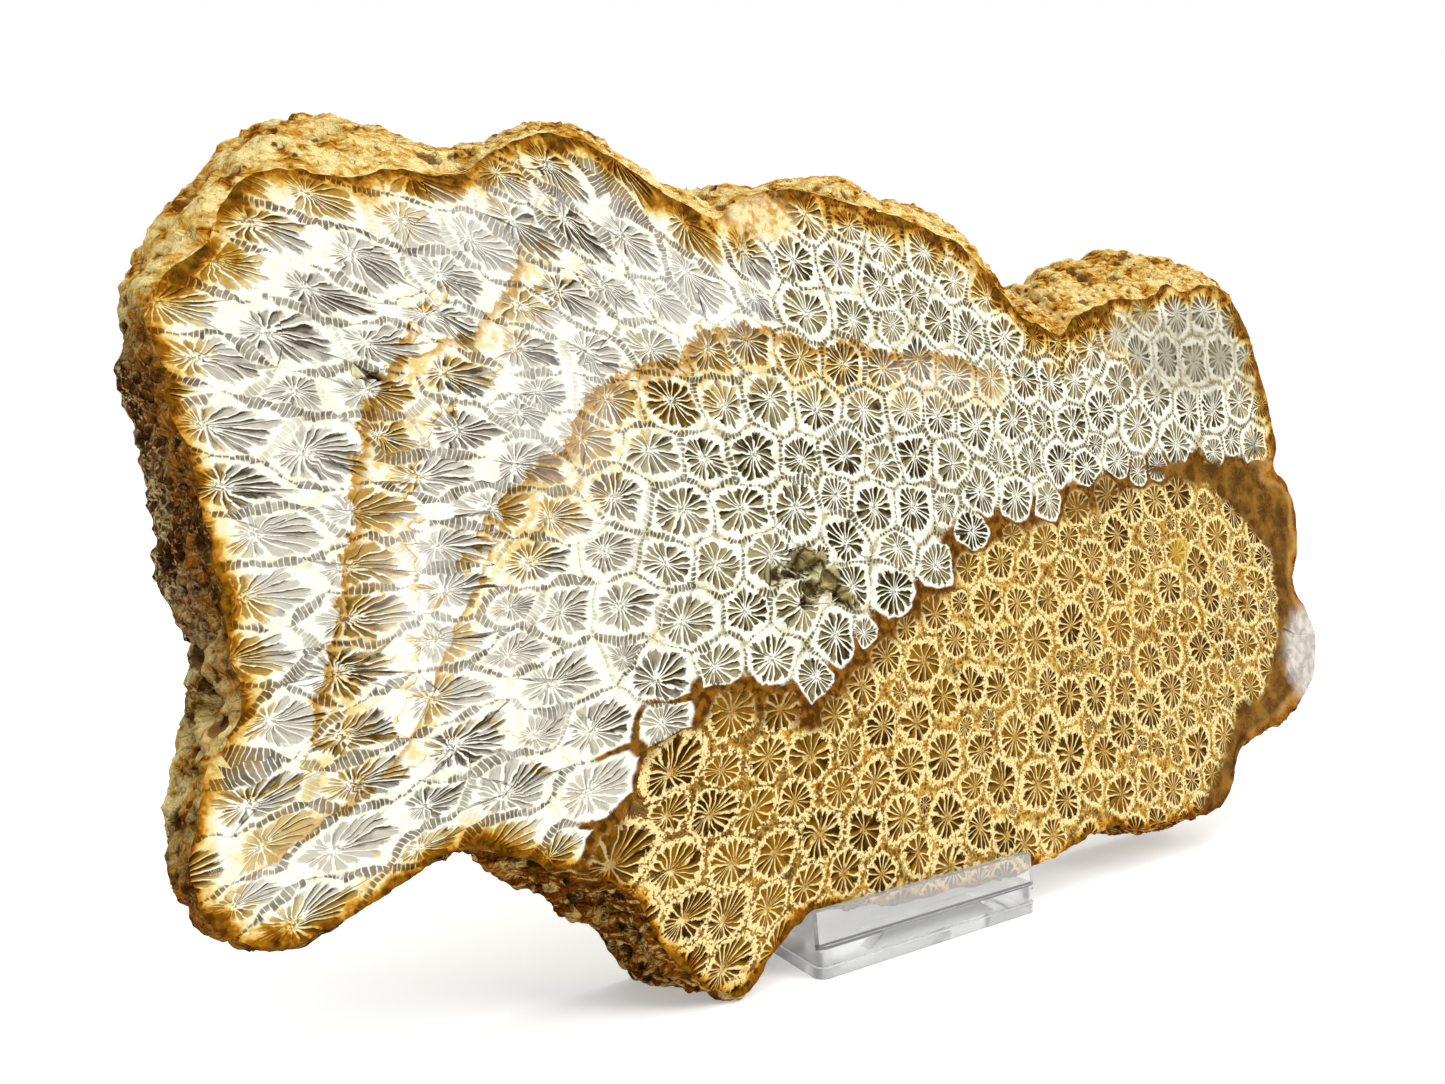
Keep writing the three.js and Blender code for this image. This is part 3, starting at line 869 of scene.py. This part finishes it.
sawn = {
    "noises": ((0.5, 3), (2.2, 2), (1.4, 3), (3.1, 3), (5, 3), (13, 2)),  # mm and detail, fine to broad
    "roughness": 0.5,
    "shine": 0.02,
    "relief": 0.00018,  # m that the petals lie under the wall
    "beadPitch": (0.78, 0.70),  # mm between the dark beads of a seam, on round and on drawn out corallites
    "lightFrom": (-0.5, 0.85),  # painted shade: the petals are taken as a little sunk, and painted darker along the side nearer this way
    "offCentre": 0.32,  # drawn out corallites open towards the colony's heart
    "wall": tone(248, 245, 230),
    "wallShade": tone(204, 198, 184),
    "seamTint": tone(194, 184, 142),
    "between": (tone(164, 154, 116), tone(220, 214, 190)),
    # petal pairs: light and dark tones, mixed by painted shade and by tones that differ at random
    "petal": (tone(162, 150, 108), tone(42, 32, 5)),
    "longPetal": (tone(196, 190, 176), tone(60, 51, 32)),
    "calm": (tone(126, 116, 84), tone(178, 172, 152)),
    "bead": (tone(150, 142, 110), tone(56, 48, 22)),
    "longBead": (tone(172, 166, 152), tone(70, 62, 46)),
    # stained petals: light and dark tones, also mixed by the petals' painted shade
    "palePetal": (tone(216, 194, 138), tone(92, 68, 20)),
    "stainedPetal": (tone(176, 138, 62), tone(58, 38, 2)),
    "stainedWall": (tone(246, 232, 186), tone(226, 190, 112)),
    "bandCore": tone(202, 160, 78),
    "ring": (tone(238, 216, 154), tone(190, 148, 66)),
    # the tan petals' light and dark tones, mixed by painted shade and by tones that differ at random
    "tanPetal": (tone(142, 99, 18), tone(50, 27, 0)),
    "tanCentre": tone(190, 156, 84),
    "fill": (tone(216, 184, 106), tone(178, 124, 26), tone(104, 60, 4), tone(146, 118, 50)),
    "border": (tone(76, 42, 2), tone(134, 86, 16)),
    "browned": (tone(82, 48, 0), tone(140, 98, 30), tone(186, 140, 72)),
    "rimStain": (tone(72, 40, 1), tone(136, 94, 14)),
    "rimTint": (tone(238, 212, 146), tone(196, 146, 56)),
    "chipped": (tone(244, 222, 166), tone(206, 156, 80)),
    "glassy": (tone(182, 172, 166), tone(216, 208, 198)),
    "yellow": tone(200, 156, 40),
    # painted shade for the small unmodelled pit
    "smallPitShade": tone(46, 30, 10),
    # the vug: the painted shadow of its crevices and deep parts, then the gold and white of its blocks
    "vug": (tone(84, 64, 16), tone(230, 214, 150), tone(255, 250, 216)),
    "greyVeil": tone(206, 203, 194),
    "paleVeil": tone(250, 249, 246),
}


def sawnMaterial():
    n = Nodes("coral_sawn")
    step, blend, between = n.step, n.blend, n.between
    place = n.place()
    qx, qy, reach = n.field("calice")
    along, beside, stretch = n.field("seam")
    first, septa, isTan = n.field("kind")
    axisX, axisY, sideways = n.field("axis")
    zone, band, bandStrength = n.field("zone")
    fromRim, chipped, glassy = n.field("edge")
    sunk, dark, yellow = n.field("mark")
    browned, greyVeil, paleVeil = n.field("tone")
    isTan = n.math("ROUND", isTan)
    septa = n.math("ROUND", septa)
    drawn = step(1.2, 1.85, stretch)  # 1 where the corallites are drawn out
    fine, soft, small, medium, large, broad = (n.noise(place, *noise) for noise in sawn["noises"])
    softOff, fineOff, largeOff, broadOff = soft - 0.5, fine - 0.5, large - 0.5, broad - 0.5
    speck = step(0.47, 0.56, n.noise(place, 0.34, 2))
    toWest = step(10.0, -60.0, n.parts(place)[0])  # the tan zone is browner towards its narrow end

    # how far out in its calice each point is, and which septum it is nearest
    far = n.math("SQRT", qx * qx + qy * qy + 0.0001)
    follow = between(isTan, between(drawn, 0.5, 0.85), between(drawn, 0.16, 0.65))
    outness = between(follow, far, reach * between(drawn, 1.08, 1.04)) + softOff * 0.15
    shift = drawn * sawn["offCentre"]
    qx, qy = qx - axisX * shift, qy - axisY * shift
    longWay = qx * axisX + qy * axisY
    shortWay = qy * axisX - qx * axisY
    length = n.math("SQRT", qx * qx + qy * qy + 0.0001)
    inwards = longWay * -1.0 / length  # 1 towards the heart, -1 away from it
    cosine, sine = qx / length, qy / length
    uneven = n.noise(n.vector(cosine * 1.3, sine * 1.3, first * 40.0), 0.9, 1)
    waver = softOff * between(drawn, 0.34, 0.15)
    around = n.math("ARCTAN2", shortWay, longWay) + (uneven - 0.5) * 0.55 + waver
    count = around * septa * (1 / (2 * math.pi))
    offset = n.math("FRACT", count + 100.0) - 0.5
    which = n.math("MODULO", n.math("FLOOR", count) + septa * 4.0, septa)
    one, two, three = (n.chance(which, first, seed) for seed in (7.0, 8.0, 9.0))
    sturdy = n.chance(first, 3.0, 4.0)  # how thick this corallite's septa are
    grainOff = n.noise(n.vector(around * 3.0, length * 0.5, first * 40.0), 0.22, 2) - 0.5
    toSeptum = (0.5 - abs(offset)) * (length * (2 * math.pi) / septa)
    septumWidth = between(isTan, between(drawn, 0.018, 0.006), between(drawn, 0.032, 0.014))
    thick = (0.001 + length * (0.5 + sturdy) * septumWidth + fineOff * between(isTan, 0.035, 0.06)
             + two * 0.012)
    side = step(0.0, 0.02 + greyVeil * 0.05, toSeptum - thick)
    innerEnd = 0.05 + one * one * 0.26
    longCell = drawn * (1.0 - isTan)
    outerEnd = (between(longCell, 0.8, 0.72) + two * between(longCell, 0.15, 0.22) + fineOff * 0.22
                - offset * offset * 0.55 + grainOff * 0.2 + isTan * (0.02 + toWest * 0.06 + fineOff * 0.25))
    petal = (side * step(innerEnd, innerEnd + 0.08, length)
             * step(outerEnd - between(drawn, 0.05, 0.1), outerEnd, outness, 1, 0))

    # where the stains lie: in the growth bands, and under the skin all round
    jag = band + softOff * 0.5 + fineOff * 0.3
    inBand = step(-0.06, 0.02, jag) * step(0.55, 1.35, jag, 1, 0) * bandStrength
    bandCore = step(-0.05, 0.03, jag) * step(0.06, 0.34, jag, 1, 0) * bandStrength
    rimDeep = fromRim + largeOff * 7.0 + fineOff * 2.0
    stained = n.most(inBand, step(2.2, 5.6, rimDeep, 1, 0))
    stainedWall = n.most(inBand * step(0.44, 0.6, small, 0.12, 0.75), step(0.2, 4.0, rimDeep, 0.9, 0))

    # petals: painted shade, each darker along its side towards a fixed light direction, with tones that
    # differ at random
    paintedLight = offset * (sine * -sawn["lightFrom"][0] + cosine * sawn["lightFrom"][1])
    mood = (three - 0.5) * 0.35 + (first - 0.5) * 0.5 + fineOff * 0.3 + grainOff * 1.3 + broadOff
    petalShadeAndTone = 0.62 + paintedLight * 1.5 + step(0.12, 0.36, paintedLight) * 0.35 + mood
    lines = 0.35 + paintedLight * 1.6 + step(0.2, 0.42, paintedLight) * 0.45 + (0.5 - length) * 0.35 + inwards * 0.22 + mood
    petalShadeAndTone = between(drawn, petalShadeAndTone, lines)
    shortTone = blend(step(0.0, 1.0, petalShadeAndTone), *sawn["petal"])
    petalTone = blend(drawn, shortTone, blend(step(0.0, 1.0, lines), *sawn["longPetal"]))
    darker = step(0.0, 1.0, petalShadeAndTone + (0.75 - outness) * 0.3)
    stains = [blend(darker, *sawn[name]) for name in ("palePetal", "stainedPetal")]
    petalTone = n.stained(stained, petalTone, *stains)

    # the wall round the petals and the speckled middle
    middle = step(0.08, 0.26, length + softOff * 0.1, 1, 0)
    tinted = step(0.46, 0.64, medium) * step(1.7, 0.5, beside + fineOff * 1.5)
    wall = blend(step(0.56, 0.36, medium) * between(drawn, 0.1, 0.2), sawn["wall"], sawn["wallShade"])
    ringTone = blend(step(0.42, 0.62, small), *sawn["between"])
    ringEnd = outness + fineOff * 0.4 - (0.5 - abs(offset)) * 0.12
    wall = blend(step(0.99, 1.09, ringEnd) * (1.0 - drawn) * 0.9, wall, ringTone)
    wall = blend(tinted * between(drawn, 0.5, 0.35), wall, sawn["seamTint"])
    wall = blend(step(0.52, 0.74, fine) * 0.25, wall, sawn["seamTint"])
    wall = n.dyed(wall, n.stained(stainedWall, (1, 1, 1), *sawn["stainedWall"]))
    wall = blend(middle * speck * 0.85, wall, petalTone)
    white = blend(petal, wall, petalTone)
    calm = greyVeil * step(0.95, 0.7, outness + softOff) * 0.62
    white = blend(calm, white, blend(medium, *sawn["calm"]))

    # the beaded seam between neighbours
    beadAt = along / between(drawn, *sawn["beadPitch"]) + soft * 0.7
    beadWhich = n.math("FLOOR", beadAt)
    bead = abs(n.math("FRACT", beadAt + 200.0) - 0.5)
    beadTone = n.chance(beadWhich, 6.0, first)
    beadHalf = between(drawn, 0.36, 0.5) - largeOff * between(drawn, 2.8, 3.4) + (beadTone - 0.5) * 0.4
    onSide = between(drawn, 1.0, step(0.45, 0.85, sideways))
    bar = step(between(drawn, 0.24, 0.33), between(drawn, 0.44, 0.48), bead + fineOff * 0.2, 1, 0)
    inSeam = step(beadHalf - 0.16, beadHalf + 0.12, beside, 1, 0) * bar * onSide
    seamDark = between(drawn, 0.74, 0.5) + (beadTone - 0.5) * 0.7 + (medium - 0.5) * 2.0
    seamDark = n.math("MULTIPLY", seamDark, 1.0, clamp=True)
    beadColour = blend(drawn, blend(seamDark, *sawn["bead"]), blend(seamDark, *sawn["longBead"]))
    beadColour = blend(n.most(stained, isTan) * 0.85, beadColour, blend(seamDark, *sawn["tanPetal"]))
    bare = (1.0 - petal) * (1.0 - greyVeil * 0.6)
    white = blend(inSeam * bare * 0.92, white, beadColour)

    # the tan zone: small rings with a net of cream, gold, brown and grey-green between them
    # the tan petals also get painted shade along their side towards the light, with tones that differ at
    # random
    tanShadeAndTone = (0.5 + paintedLight * 1.7 + (outness - 0.5) * 0.35 + (three - 0.5) * 0.3 + (first - 0.5) * 0.5
               + grainOff * 1.2 + broadOff * 0.8 + toWest * 0.04)
    tanPetal = blend(step(0.0, 1.0, tanShadeAndTone), *sawn["tanPetal"])
    ring = blend(step(0.5, 0.7, fine + softOff * 0.4), *sawn["ring"])
    septum = blend(speck, sawn["tanCentre"], sawn["tanPetal"][0])
    septum = blend(step(0.06, 0.42, outness, 1, 0), ring, septum)
    tanCell = blend(petal, septum, tanPetal)
    net = step(0.03, 0.16, n.toEdge(n.warped(place, 1.0, 0.5), 1.15) + fineOff * 0.1, 1, 0)
    fillTone = small - toWest * 0.11
    fill = blend(step(0.48, 0.6, medium), sawn["fill"][1], sawn["fill"][3])
    fill = blend(step(0.48, 0.38, fillTone - broadOff * 0.3) * 0.9, fill, sawn["fill"][2])
    fill = blend(step(0.52, 0.64, fillTone), fill, sawn["fill"][0])
    fill = blend(net * between(toWest, 0.6, 0.25), fill, sawn["fill"][0])
    fill = blend(inSeam * between(drawn, 0.6, 0.95), fill, beadColour)
    outside = step(0.98, 1.05, outness + fineOff * 0.8 - drawn * 0.04 - (0.5 - abs(offset)) * 0.16)
    colour = blend(isTan, white, blend(outside, tanCell, fill))

    # brown along the border of the two zones, outside the white corallites
    ragged = zone + softOff * 3.5 + fineOff * 1.5
    bandHere = step(-3.6, -1.6, ragged) * n.most(step(3.0, 6.0, ragged, 1, 0), 1.0 - isTan)
    spare = between(isTan, step(0.9, 1.0, outness), between(step(0.8, 1.0, outness), 0.55, 1.0))
    borderTone = blend(step(0.38, 0.62, small), *sawn["border"])
    colour = blend(bandHere * spare * 0.99, colour, borderTone)

    # veils of grey and white, and the brown corner
    colour = blend(greyVeil * 0.75, colour, n.dyed(colour, sawn["greyVeil"]))
    colour = blend(paleVeil * 0.2, colour, sawn["paleVeil"])
    brownHere = step(-1.0, 1.4, browned + softOff * 3.0 + fineOff * 1.2) * step(-1.0, 0.5, ragged)
    ghost = large - step(0.95, 0.75, outness) * 0.05 - petal * 0.04 + fineOff * 0.3
    brownTone = blend(step(0.3, 0.72, ghost), *sawn["browned"][:2])
    paleRim = step(5.0, 9.0, browned) * step(4.6, 2.0, rimDeep) * 0.8
    brownTone = blend(paleRim, brownTone, sawn["browned"][2])
    colour = blend(brownHere * 0.98, colour, brownTone)

    # the sharp outer side of each growth band, and the brown edge under the skin
    colour = blend(bandCore * between(petal, 0.9, 0.4), colour, n.dyed(colour, sawn["bandCore"]))
    tint = n.stained(step(0.2, 2.4, rimDeep, 1, 0), (1, 1, 1), *sawn["rimTint"])
    colour = n.dyed(colour, tint)
    rimTone = blend(step(0.35, 0.7, small), *sawn["rimStain"])
    colour = blend(step(-0.2, 0.8, rimDeep, 0.98, 0), colour, rimTone)

    # single marks, among them the painted shade of a small pit and of the vug
    chip = step(0.46, 0.6, small * 0.6 + medium * 0.4)
    colour = blend(chipped, colour, blend(chip, *sawn["chipped"]))
    colour = blend(glassy, colour, blend(step(0.35, 0.65, soft), *sawn["glassy"]))
    colour = blend(yellow * 0.7, colour, sawn["yellow"])
    # painted shade: a dark spot where a small pit is left out of the relief
    colour = blend(dark, colour, sawn["smallPitShade"])
    # the vug: painted shadow in its crevices and painted shade over its deeper parts, multiplied over the
    # face's own colour
    inVug = n.warped(place, 2.5, 1.4)
    creviceShadow = step(0.01, 0.16, n.toEdge(inVug, 4.2) + fineOff * 0.3, 0.95, 0) * step(0.3, 0.42, soft)
    block = step(0.2, 0.7, n.blocks(inVug, 4.2)[1] + fineOff * 0.6)
    vugShadow, gold, white = sawn["vug"]
    crumb = blend(creviceShadow, blend(block, gold, white), vugShadow)
    crumb = blend(step(1.0, 2.4, sunk + softOff * 2.0, 0, 0.7), crumb, vugShadow)
    crumb = blend(0.75, n.dyed(colour, crumb), crumb)
    colour = blend(step(0.1, 0.7, sunk), colour, crumb)

    relief = petal * -0.5 - inSeam * 0.4 + fine * 0.4
    n.finish(colour, sawn["roughness"], relief, sawn["relief"], sawn["shine"])
    return n.material


# the weathered skin

skin = {
    "noises": ((0.45, 3, 0.6), (1.4, 4, 0.65), (5.5, 3, 0.6), (15, 2)),  # mm, detail and how rough
    "roughness": 0.8,
    "shine": 0.02,
    "relief": 0.001,  # m
    "cream": tone(252, 230, 158),
    "gold": tone(216, 162, 62),
    "orange": tone(184, 116, 20),
    "brown": tone(116, 64, 8),
    "dark": tone(44, 22, 1),
    "umber": tone(116, 68, 16),
    "rust": tone(160, 100, 26),
    "vein": tone(206, 180, 130),
    "bed": tone(208, 172, 104),
}


def skinMaterial():
    n = Nodes("coral_skin")
    step, blend, between = n.step, n.blend, n.between
    place = n.place()
    pit, depth, upward = n.field("skin")
    x, y, z = n.parts(place)
    fine, grit, patch, broad = (n.noise(place, *noise) for noise in skin["noises"])
    patchOff, broadOff = patch - 0.5, broad - 0.5
    normal = n.parts(n.wire("ShaderNodeNewGeometry", out="Normal"))[2]
    lines = n.toEdge(n.warped(place, 1.8, 1.6), 1.7)
    toHole, holeChance = n.blocks(place, 2.3)
    streaks = n.noise(n.vector(x * 0.34, y, z * 0.9), 1.5, 4, 0.66, 0.8)

    # the top, lighter as painted light from above: streaks of cream and gold with brown between them, and
    # small holes
    tint = streaks + patchOff * 0.75 + broadOff * 0.25
    top = blend(step(0.42, 0.6, tint), skin["gold"], skin["cream"])
    top = blend(step(0.52, 0.62, grit) * 0.6, top, skin["gold"])
    top = blend(step(0.47, 0.35, tint) * 0.95, top, skin["orange"])
    top = blend(step(0.39, 0.3, tint) * 0.95, top, skin["brown"])
    hole = step(0.24, 0.14, toHole + (fine - 0.5) * 0.3)
    top = blend(hole * step(0.72, 0.75, holeChance), top, skin["brown"])
    top = blend(step(0.56, 0.7, fine) * 0.6, top, skin["gold"])

    # the sides, darker in part as painted shade: a dark sponge with pale veins, orange near the sawn face
    sponge = blend(step(0.4, 0.66, grit), skin["dark"], skin["umber"])
    vein = step(0.17, 0.05, lines) * step(0.42, 0.6, fine + patchOff * 0.8)
    sponge = blend(vein * step(3.0, 9.0, depth, 0.45, 1.0), sponge, skin["vein"])
    warm = step(0.4, 0.56, patch + broadOff * 0.3) * step(10.0, 3.0, depth)
    warmTone = blend(step(0.36, 0.56, grit), skin["brown"], skin["rust"])
    warmTone = blend(step(0.54, 0.66, fine) * step(0.48, 0.58, grit) * 0.8, warmTone, skin["gold"])
    sponge = blend(warm * 0.85, sponge, warmTone)
    pale = step(0.54, 0.66, n.noise(place, 8, 3)) * step(2.0, 8.0, depth)
    sponge = blend(pale * 0.6, sponge, blend(step(0.38, 0.62, grit), skin["brown"], skin["vein"]))

    # the underside: thin beds along the slice
    beds = n.noise(n.vector(x * 0.16, depth * 0.8, z * 0.7), 1.1, 4, 0.65, 0.5)
    under = blend(step(0.34, 0.48, beds), skin["dark"], skin["brown"])
    under = blend(step(0.49, 0.61, beds), under, skin["bed"])
    warmBed = blend(step(0.4, 0.6, beds), skin["brown"], skin["orange"])
    under = blend(step(0.54, 0.68, patch) * 0.6, under, warmBed)
    below = step(0.05, -0.35, upward + patchOff * 0.5) * step(-98.0, -88.0, x)

    # painted light: the rim gets the light top where it faces up and the dark sponge on its sides, partly
    # its own weathering
    paintedLight = step(-0.15, 0.5, upward * 0.75 + normal * 0.35 + patchOff * 0.5)
    colour = blend(below, blend(paintedLight, sponge, top), under)
    # painted shade: darker inside the pits, darkest on the shaded sides
    pitShade = step(0.2, 0.6, pit + (grit - 0.5) * 1.4)
    colour = blend(pitShade * between(paintedLight, 0.9, 0.8), colour, blend(paintedLight, skin["dark"], skin["umber"]))
    relief = (fine * 0.3 + grit * 0.6 + step(0.0, 0.25, lines) * between(paintedLight, -0.7, -0.1)
              + streaks * 1.2 - hole * 0.5)
    n.finish(colour, skin["roughness"], relief, skin["relief"], skin["shine"])
    return n.material


coralPiece.data.materials.append(sawnMaterial())
coralPiece.data.materials.append(skinMaterial())
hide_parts("coral_slice")
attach(coralPiece, "root")
print("slice materials done")

# the clear stand

stand = {
    "bevel": 0.35,
    "segments": 3,
    "bevelFrom": 25,  # degrees between two faces, from which their edge is rounded
    "ior": 1.49,
    "tint": (0.99, 0.995, 0.99),
    "roughness": 0.10,
    "clear": 0.85,
}


def buildStand():
    work = bmesh.new()
    work.from_mesh(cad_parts["display_stand"].data)
    bmesh.ops.remove_doubles(work, verts=work.verts, dist=1e-6)
    bmesh.ops.dissolve_limit(work, angle_limit=math.radians(1), verts=work.verts, edges=work.edges)
    mesh = bpy.data.meshes.new("stand")
    work.to_mesh(mesh)
    work.free()
    piece = bpy.data.objects.new("display_stand_body", mesh)
    bpy.context.scene.collection.objects.link(piece)
    bpy.ops.object.select_all(action="DESELECT")
    bpy.context.view_layer.objects.active = piece
    piece.select_set(True)
    bevel = piece.modifiers.new("soft edges", "BEVEL")
    bevel.width = stand["bevel"] * mm
    bevel.segments = stand["segments"]
    bevel.limit_method = "ANGLE"
    bevel.angle_limit = math.radians(stand["bevelFrom"])
    bpy.ops.object.modifier_apply(modifier=bevel.name)
    n = Nodes("clear_plastic")
    shader = n.finish(stand["tint"], stand["roughness"])
    shader.inputs["Transmission Weight"].default_value = stand["clear"]
    shader.inputs["IOR"].default_value = stand["ior"]
    mesh.materials.append(n.material)
    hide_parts("display_stand")
    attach(piece, "root")
    return piece


standPiece = buildStand()
print("stand:", len(standPiece.data.polygons), "faces")

# floor, light and camera

room = {
    "floorSize": 6,  # m
    "floorBelow": 0.0002,  # m under the part, so that the two don't lie in one plane
    "floorColour": (0.95, 0.955, 0.935),
    "floorGlow": 0.34,
    "backdrop": 1.0,
    "ambient": 0.36,
    "key": {"energy": 1.32, "angle": 26, "from": (0.55, -0.62, 0.60)},
    "overhead": {"energy": 1.9, "angle": 60, "from": (0.10, -0.10, 0.95)},
}


def addLight(name, light):
    data = bpy.data.lights.new(name, "SUN")
    data.energy = light["energy"]
    data.angle = math.radians(light["angle"])
    lamp = bpy.data.objects.new(name, data)
    lamp.rotation_euler = (-Vector(light["from"])).to_track_quat("-Z", "Y").to_euler()
    bpy.context.scene.collection.objects.link(lamp)


def addRoom():
    bpy.ops.object.select_all(action="DESELECT")
    bpy.ops.mesh.primitive_plane_add(size=room["floorSize"], location=(0, 0, -room["floorBelow"]))
    floor = bpy.context.object
    floor.name = "floor"
    n = Nodes("floor")
    shader = n.finish(room["floorColour"], 0.5, specular=0.3)
    shader.inputs["Emission Color"].default_value = (1, 1, 1, 1)
    shader.inputs["Emission Strength"].default_value = room["floorGlow"]
    floor.data.materials.append(n.material)
    floor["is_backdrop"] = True
    world = bpy.data.worlds.new("studio")
    world.use_nodes = True
    tree = world.node_tree
    plain, lighting = tree.nodes["Background"], tree.nodes.new("ShaderNodeBackground")
    plain.inputs[0].default_value = lighting.inputs[0].default_value = (1, 1, 1, 1)
    plain.inputs[1].default_value = room["backdrop"]
    lighting.inputs[1].default_value = room["ambient"]
    ray, mixed = tree.nodes.new("ShaderNodeLightPath"), tree.nodes.new("ShaderNodeMixShader")
    tree.links.new(ray.outputs["Is Diffuse Ray"], mixed.inputs[0])
    tree.links.new(plain.outputs[0], mixed.inputs[1])
    tree.links.new(lighting.outputs[0], mixed.inputs[2])
    tree.links.new(mixed.outputs[0], tree.nodes["World Output"].inputs[0])
    bpy.context.scene.world = world
    addLight("key", room["key"])
    addLight("overhead", room["overhead"])


view = {
    "fromOrigin": (-89.58, -133.44, 81.09),  # mm
    "turn": 33.0,
    "down": 2.862,
    "focal": 1040,  # pixels, in a picture so many pixels across
    "across": 1445,
    "sensor": 36,
}


def addCamera():
    data = bpy.data.cameras.new("camera")
    data.sensor_width = view["sensor"]
    data.lens = view["focal"] / view["across"] * view["sensor"]
    data.clip_start = 0.005
    camera = bpy.data.objects.new("camera", data)
    camera.location = (Vector(origin) + Vector(view["fromOrigin"])) * mm
    camera.rotation_euler = (math.radians(90 - view["down"]), 0, math.radians(-view["turn"]))
    bpy.context.scene.collection.objects.link(camera)
    bpy.context.scene.camera = camera


addRoom()
addCamera()
bpy.context.scene.view_settings.view_transform = "Standard"
bpy.context.scene.view_settings.look = "None"
bpy.ops.object.select_all(action="DESELECT")

visualLow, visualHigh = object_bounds()
for name, box in (("cad", (*cadLow, *cadHigh)), ("visual", (*visualLow, *visualHigh))):
    print(name, "box in mm:", [round(v / mm, 1) for v in box])
